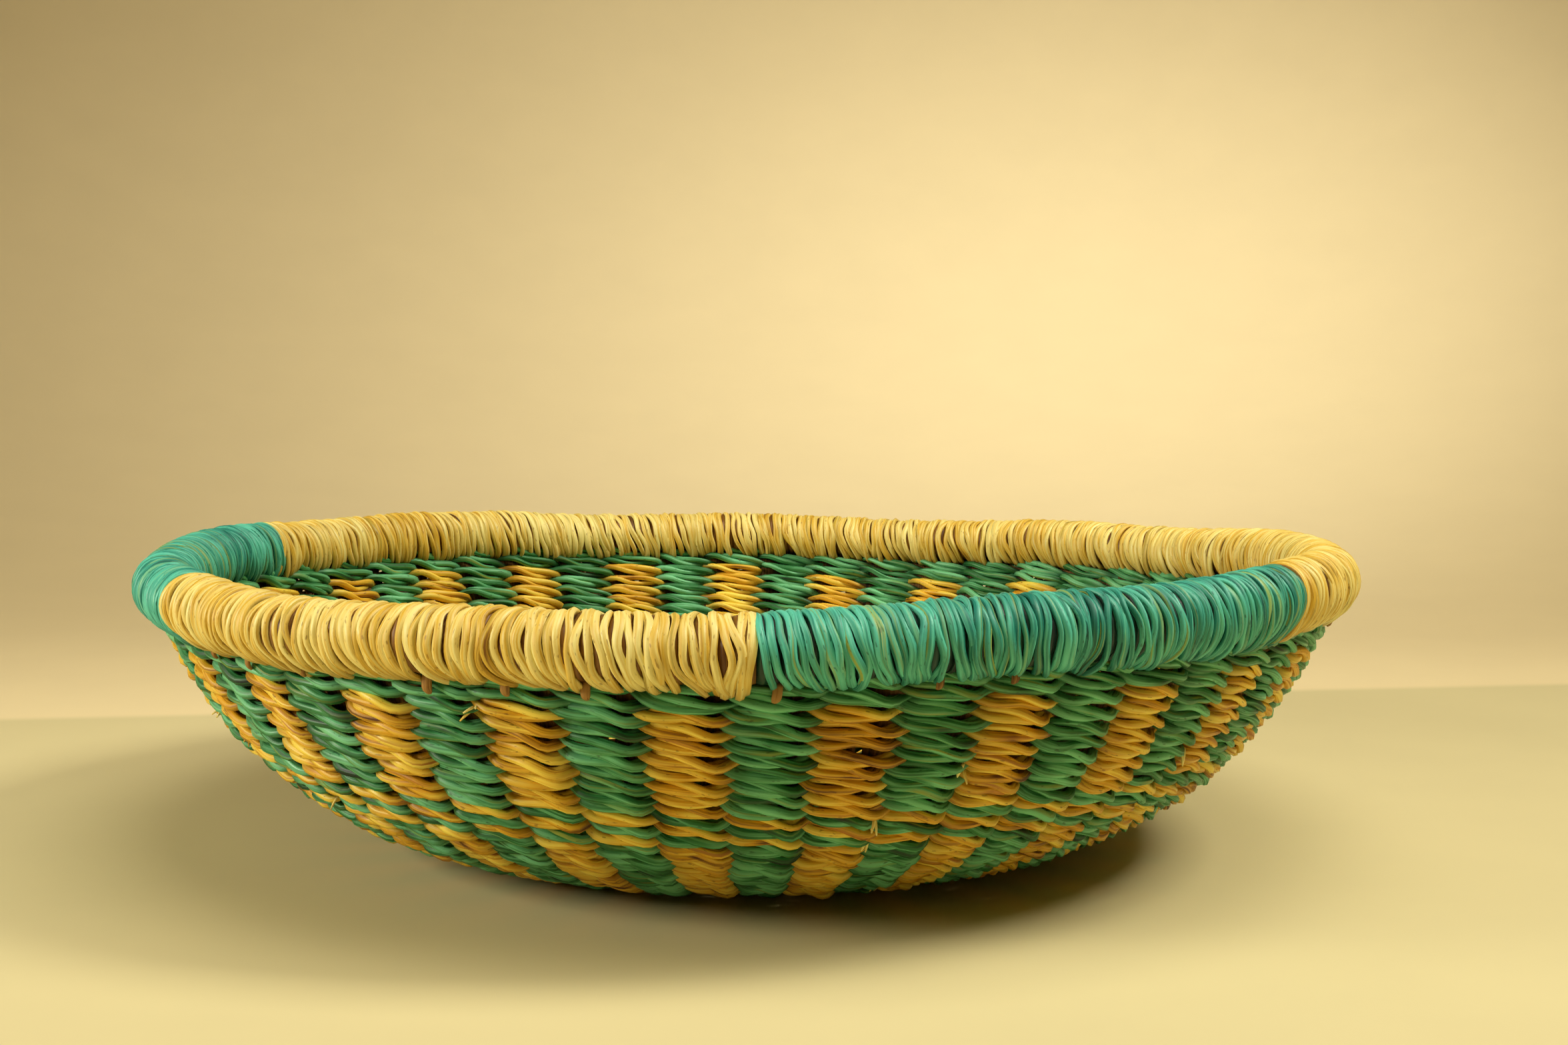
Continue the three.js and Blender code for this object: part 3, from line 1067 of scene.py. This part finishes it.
    def _add_lining(self, mesh: StrawMesh, start: float, end: float, rng: np.random.Generator) -> None:
        """Adds the flat first layer of wraps, which shows only between those above it. Its low tones and
        strong painted shade make the gaps between the upper wraps read dark as shadow.

        Args:
            mesh: what the wraps are added to.
            start: the azimuth of the first wrap.
            end: the azimuth after the last wrap.
            rng: the source of the small differences between wraps.
        """
        count = round((end - start) * self.shape.outer_radius / self.lining_pitch)
        place = start + (np.arange(count) + 0.5) / count * (end - start)
        turn = np.linspace(self.lining_end, 2 * math.pi - self.lining_end, self.lining_samples)
        reach = self.shape.rim_radius - 2 * self.half_thickness + self.lining_half_thickness
        azimuth = np.broadcast_to(place[:, None], (count, len(turn)))
        centres = self.ring(azimuth, np.broadcast_to(turn, azimuth.shape), np.full(azimuth.shape, reach))
        side = np.stack([-np.sin(azimuth), np.cos(azimuth), np.zeros_like(azimuth)], -1)
        full = np.ones(azimuth.shape)
        # Low tones, part of the painted shade that darkens the lining.
        tone = np.broadcast_to(rng.uniform(0.0, 0.4, (count, 1)), azimuth.shape)
        mesh.add(
            centres,
            side,
            full * self.lining_pitch * self.lining_fullness,
            full * self.lining_half_thickness,
            np.stack([tone, tone, self.lining_painted_shade * full], -1),
            rng.uniform(0, PATTERN_SPAN, count),
            self.lining_sides,
        )


@dataclass
class CentreKnot:
    """The knot that starts the bowl: a short cord coiled down over the crossed stakes."""

    shape: BowlShape
    hand: HandWork
    turns: float = 2.6
    lays: float = 2.5  # how often the plies go round each other in one turn of the cord
    lay_radius: float = 0.75 * MM
    rise: float = 2.1 * MM
    crown: float = 0.7 * MM
    closing: float = 0.93
    samples: int = 110
    sides: int = 6
    half_width: float = 1.3 * MM

    def build(self) -> None:
        """Coils the cord's two plies from the edge of the knot to its middle, on both faces."""
        low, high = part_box("centre_knot")
        knot_radius = (high.x - low.x) / 2
        rng = np.random.default_rng(5)
        mesh = StrawMesh(self.shape, self.hand)
        share = np.linspace(0, 1, self.samples)
        radius = (knot_radius - self.half_width) * (1 - self.closing * share)
        angle = share * self.turns * 2 * math.pi
        for face in (-1, 1):
            height = self.shape.wall_thickness / 2 + face * (self.rise + self.crown * share)
            for ply in (0, math.pi):
                lay = ply + angle * self.lays
                ring = radius + self.lay_radius * np.cos(lay)
                level = height + self.lay_radius * np.sin(lay)
                centres = np.stack([ring * np.cos(angle), ring * np.sin(angle), level], -1)[None]
                side = np.stack([np.cos(angle), np.sin(angle), 0 * angle], -1)[None]
                full = np.ones((1, self.samples))
                tint = np.broadcast_to([0.5, 0.3, 0.0], (1, self.samples, 3))
                mesh.add(
                    centres,
                    side,
                    full * self.half_width,
                    full * self.half_width,
                    tint,
                    rng.uniform(0, PATTERN_SPAN, 1),
                    self.sides,
                )
        mesh.build("knot_cord", Dye.NATURAL, ["centre_knot"])


@dataclass
class StrawEnds:
    """Cut ends of straw that stand out a little where a new straw was laid in."""

    shape: BowlShape
    hand: HandWork
    count: int = 46
    straws: int = 3
    length: float = 4.6 * MM
    half_width: float = 0.5 * MM
    taper: tuple[float, ...] = (1.0, 1.0, 0.8, 0.45)
    flatness: float = 0.8
    spread: float = 0.5
    root_spread: tuple[float, float] = (0.5 * MM, 0.6 * MM)  # up the wall and round it
    most_sag: float = 1.5
    proud: float = 1.6 * MM
    sides: int = 5

    def build(self) -> None:
        """Sets small tufts between stitches, some on each face of the wall."""
        rng = np.random.default_rng(23)
        mesh = StrawMesh(self.shape, self.hand)
        pitch = self.shape.wall_length / WALL_ROWS
        steps = len(self.taper)
        for _ in range(self.count):
            stake = rng.integers(0, STAKE_COUNT) + 0.5
            row = rng.integers(2, WALL_ROWS - 4)
            face = rng.choice([1, 1, -1])
            azimuth = np.array(STAKE_TURN + stake * STAKE_ANGLE)
            depth = np.array((row + (stake - SEAM_STAKE) / STAKE_COUNT % 1) * pitch)
            points, up, out = self.shape.at(azimuth, depth)
            around = np.cross(up, out)
            for _ in range(self.straws):
                lean = rng.normal(size=2) * self.spread
                way = face * out + up * (lean[0] - 0.3) + around * (lean[1] - 0.5)
                way /= np.linalg.norm(way)
                reach = np.linspace(0.2, 1, steps) * self.length * rng.uniform(0.8, 1.25)
                sag = -up * (np.linspace(0, 1, steps) ** 2)[:, None] * rng.uniform(0, self.most_sag) * MM
                root = points + up * rng.normal() * self.root_spread[0]
                root = root + around * rng.normal() * self.root_spread[1] + face * out * self.proud
                centres = (root + way * reach[:, None] + sag)[None]
                side = np.broadcast_to(around, centres.shape)
                width = np.array([self.taper]) * self.half_width
                tint = np.broadcast_to([rng.uniform(0.4, 1.0), rng.uniform(0, 0.5), 0.0], (1, steps, 3))
                start = rng.uniform(0, PATTERN_SPAN, 1)
                mesh.add(centres, side, width, width * self.flatness, tint, start, self.sides)
        mesh.build("straw_ends", Dye.NATURAL, [])


@dataclass
class StakeTips:
    """Bent-over tips of stakes that show below the rim, where the wraps leave them bare."""

    shape: BowlShape
    hand: HandWork
    share: float = 0.55
    length: float = 4.8 * MM
    half_width: float = 1.6 * MM
    half_thickness: float = 0.9 * MM
    start: float = 0.5 * MM
    proud: float = 4.2 * MM
    bulge: float = 1.6 * MM
    stray: float = 0.8 * MM
    taper: tuple[float, ...] = (1, 1, 1, 1, 0.9, 0.6)
    sides: int = 6

    def build(self) -> None:
        """Sets a tip against the wall under the rim at some of the stakes."""
        rng = np.random.default_rng(61)
        mesh = StrawMesh(self.shape, self.hand)
        run = np.linspace(0, 1, len(self.taper))
        for stake in np.flatnonzero(rng.random(STAKE_COUNT) < self.share):
            azimuth = STAKE_TURN + (stake + rng.normal() * 0.1) * STAKE_ANGLE
            depth = self.start + run * self.length * rng.uniform(0.7, 1.1)
            points, up, out = self.shape.at(np.full(len(run), azimuth), depth)
            proud = self.proud + self.bulge * np.sin(run * 2.4)
            bent = rng.normal() * self.stray * run**2
            side = np.cross(out, up)
            centres = points + out * proud[:, None] + side * bent[:, None]
            width = self.half_width * rng.uniform(0.6, 1.1) * np.array(self.taper)
            tint = np.broadcast_to([rng.uniform(0.55, 1.0), 0.2, 0.0], (1, len(run), 3))
            mesh.add(
                centres[None],
                side[None],
                width[None],
                width[None] * self.half_thickness / self.half_width,
                tint,
                rng.uniform(0, PATTERN_SPAN, 1),
                self.sides,
            )
        mesh.build("stake_tips", Dye.PLAIN, [])


@dataclass(frozen=True)
class PaperFinish:
    """Matt coloured card: no gloss at all, with a faint mottle from its pulp."""

    name: str = "matt cream card"
    floor: str = "#D8CE9E"
    backdrop: str = "#EFDFB0"
    mottle: float = 0.025
    mottle_size: float = 60 * MM
    edge: float = 0.26
    edge_turn: float = math.radians(10.5)
    edge_softness: float = 8 * MM
    roughness: float = 0.9
    specular: float = 0.2

    def material(self) -> bpy.types.Material:
        """Builds the card's shader: the floor's tone near the bowl, the backdrop's beyond it.

        Returns:
            The material.
        """
        material = bpy.data.materials.new(self.name)
        material.use_nodes = True
        tree = material.node_tree
        shader = tree.nodes["Principled BSDF"]
        place = add_node(tree, "TexCoord").outputs["Object"]
        across = add_node(
            tree,
            "VectorMath",
            {"operation": "DOT_PRODUCT"},
            {0: place, 1: (-math.sin(self.edge_turn), math.cos(self.edge_turn), 0.0)},
        )
        beyond = add_node(
            tree,
            "MapRange",
            {"interpolation_type": "SMOOTHSTEP"},
            {
                0: across.outputs["Value"],
                1: self.edge - self.edge_softness,
                2: self.edge + self.edge_softness,
            },
        )
        tone = add_node(
            tree,
            "Mix",
            {"data_type": "RGBA"},
            {0: beyond.outputs[0], 6: linear(self.floor), 7: linear(self.backdrop)},
        )
        mottle = add_node(
            tree, "TexNoise", inputs={"Vector": place, "Scale": 1 / self.mottle_size, "Detail": 4.0}
        )
        shade = add_node(
            tree, "MapRange", inputs={0: mottle.outputs[0], 1: 0.3, 2: 0.7, 3: 1 - self.mottle, 4: 1.0}
        )
        colour = add_node(
            tree, "VectorMath", {"operation": "MULTIPLY"}, {0: tone.outputs[2], 1: shade.outputs[0]}
        )
        tree.links.new(colour.outputs[0], shader.inputs["Base Color"])
        shader.inputs["Roughness"].default_value = self.roughness
        shader.inputs["Specular IOR Level"].default_value = self.specular
        return material


@dataclass(frozen=True)
class Lamp:
    """A soft square light, aimed at one point."""

    name: str
    place: tuple[float, float, float]
    aim: tuple[float, float, float]
    width: float
    power: float
    colour: str
    spread: float = math.radians(120)

    def build(self) -> None:
        """Adds the light."""
        data = bpy.data.lights.new(self.name, "AREA")
        data.size = self.width
        data.energy = self.power
        data.spread = self.spread
        data.color = linear(self.colour)[:3]
        lamp = bpy.data.objects.new(self.name, data)
        bpy.context.scene.collection.objects.link(lamp)
        lamp.location = self.place
        lamp.rotation_euler = (Vector(self.aim) - Vector(self.place)).to_track_quat("-Z", "Y").to_euler()


@dataclass
class Studio:
    """A camera, a pale card floor that curves up into a backdrop, and soft lights."""

    camera_place: tuple[float, float, float] = (0.0118, -0.7324, 0.1607)
    camera_pitch: float = 0.0773
    camera_roll: float = 0.007
    lens: float = 50.0
    sensor: float = 36.0
    floor_radius: float = 1.9
    wall_height: float = 1.7
    cove: float = 1.25
    ambient: str = "#FFD88C"
    ambient_strength: float = 0.1
    lamps: tuple[Lamp, ...] = (
        Lamp("overhead softbox", (0.2, -0.35, 1.3), (0.05, 0.0, 0.0), 0.9, 4.3, "#FFF6E4"),
        Lamp("left softbox", (-1.1, -0.45, 0.5), (0.0, 0.0, 0.05), 0.4, 2.7, "#FFF6E4", math.radians(90)),
        Lamp("right softbox", (0.9, -0.2, 1.15), (0.05, 0.0, 0.05), 0.4, 3.4, "#FFF6E4", math.radians(90)),
        Lamp("backdrop light", (0.6, 0.5, 1.0), (-0.03, 1.65, 0.1), 0.5, 3.7, "#FFF8EC", math.radians(86)),
    )

    def build_camera(self) -> None:
        """Adds the camera that looks at the bowl's front, a little from above."""
        data = bpy.data.cameras.new("camera")
        data.lens = self.lens
        data.sensor_width = self.sensor
        camera = bpy.data.objects.new("camera", data)
        bpy.context.scene.collection.objects.link(camera)
        turn = Matrix.Rotation(math.pi / 2 - self.camera_pitch, 4, "X")
        camera.matrix_world = (
            Matrix.Translation(self.camera_place) @ turn @ Matrix.Rotation(self.camera_roll, 4, "Z")
        )
        bpy.context.scene.camera = camera

    def build_floor(self) -> None:
        """Models the floor as a disc whose edge is drawn up into a wall and rounded into a cove."""
        deselect_all()
        bpy.ops.mesh.primitive_circle_add(vertices=96, radius=self.floor_radius, fill_type="NGON")
        floor = bpy.context.active_object
        floor.name = "card_floor"
        bpy.ops.object.mode_set(mode="EDIT")
        bpy.ops.mesh.select_mode(type="EDGE")
        bpy.ops.mesh.select_all(action="SELECT")
        bpy.ops.mesh.extrude_edges_move(TRANSFORM_OT_translate={"value": (0, 0, self.wall_height)})
        bpy.ops.object.mode_set(mode="OBJECT")
        deselect_all()
        floor.select_set(True)
        for edge in floor.data.edges:
            ends = [floor.data.vertices[i].co for i in edge.vertices]
            edge.select = all(abs(end.z) < MM for end in ends)
        for vertex in floor.data.vertices:
            vertex.select = abs(vertex.co.z) < MM
        for face in floor.data.polygons:
            face.select = False
        bpy.ops.object.mode_set(mode="EDIT")
        bpy.ops.mesh.bevel(offset=self.cove, segments=14, profile=0.5)
        bpy.ops.mesh.select_all(action="SELECT")
        bpy.ops.mesh.normals_make_consistent(inside=True)
        bpy.ops.object.mode_set(mode="OBJECT")
        bpy.ops.object.shade_smooth()
        floor.data.materials.append(PaperFinish().material())

    def build_light(self) -> None:
        """Adds the soft lights and a warm surround."""
        for lamp in self.lamps:
            lamp.build()
        world = bpy.data.worlds.new("surround")
        bpy.context.scene.world = world
        world.use_nodes = True
        surround = world.node_tree.nodes["Background"]
        surround.inputs["Color"].default_value = linear(self.ambient)
        surround.inputs["Strength"].default_value = self.ambient_strength
        bpy.context.scene.view_settings.view_transform = "Standard"


def main() -> None:
    """Builds the studio and the bowl in order and reports each piece."""
    logging.basicConfig(level=logging.INFO, format="%(name)s %(message)s")
    studio = Studio()
    studio.build_camera()
    shape = BowlShape.from_frame()
    hand = HandWork()
    for maker in (StakeBundles, TwinedWall, WrappedRim, StakeTips, CentreKnot, StrawEnds):
        maker(shape, hand).build()
    studio.build_floor()
    studio.build_light()


if __name__ == "__main__":
    main()
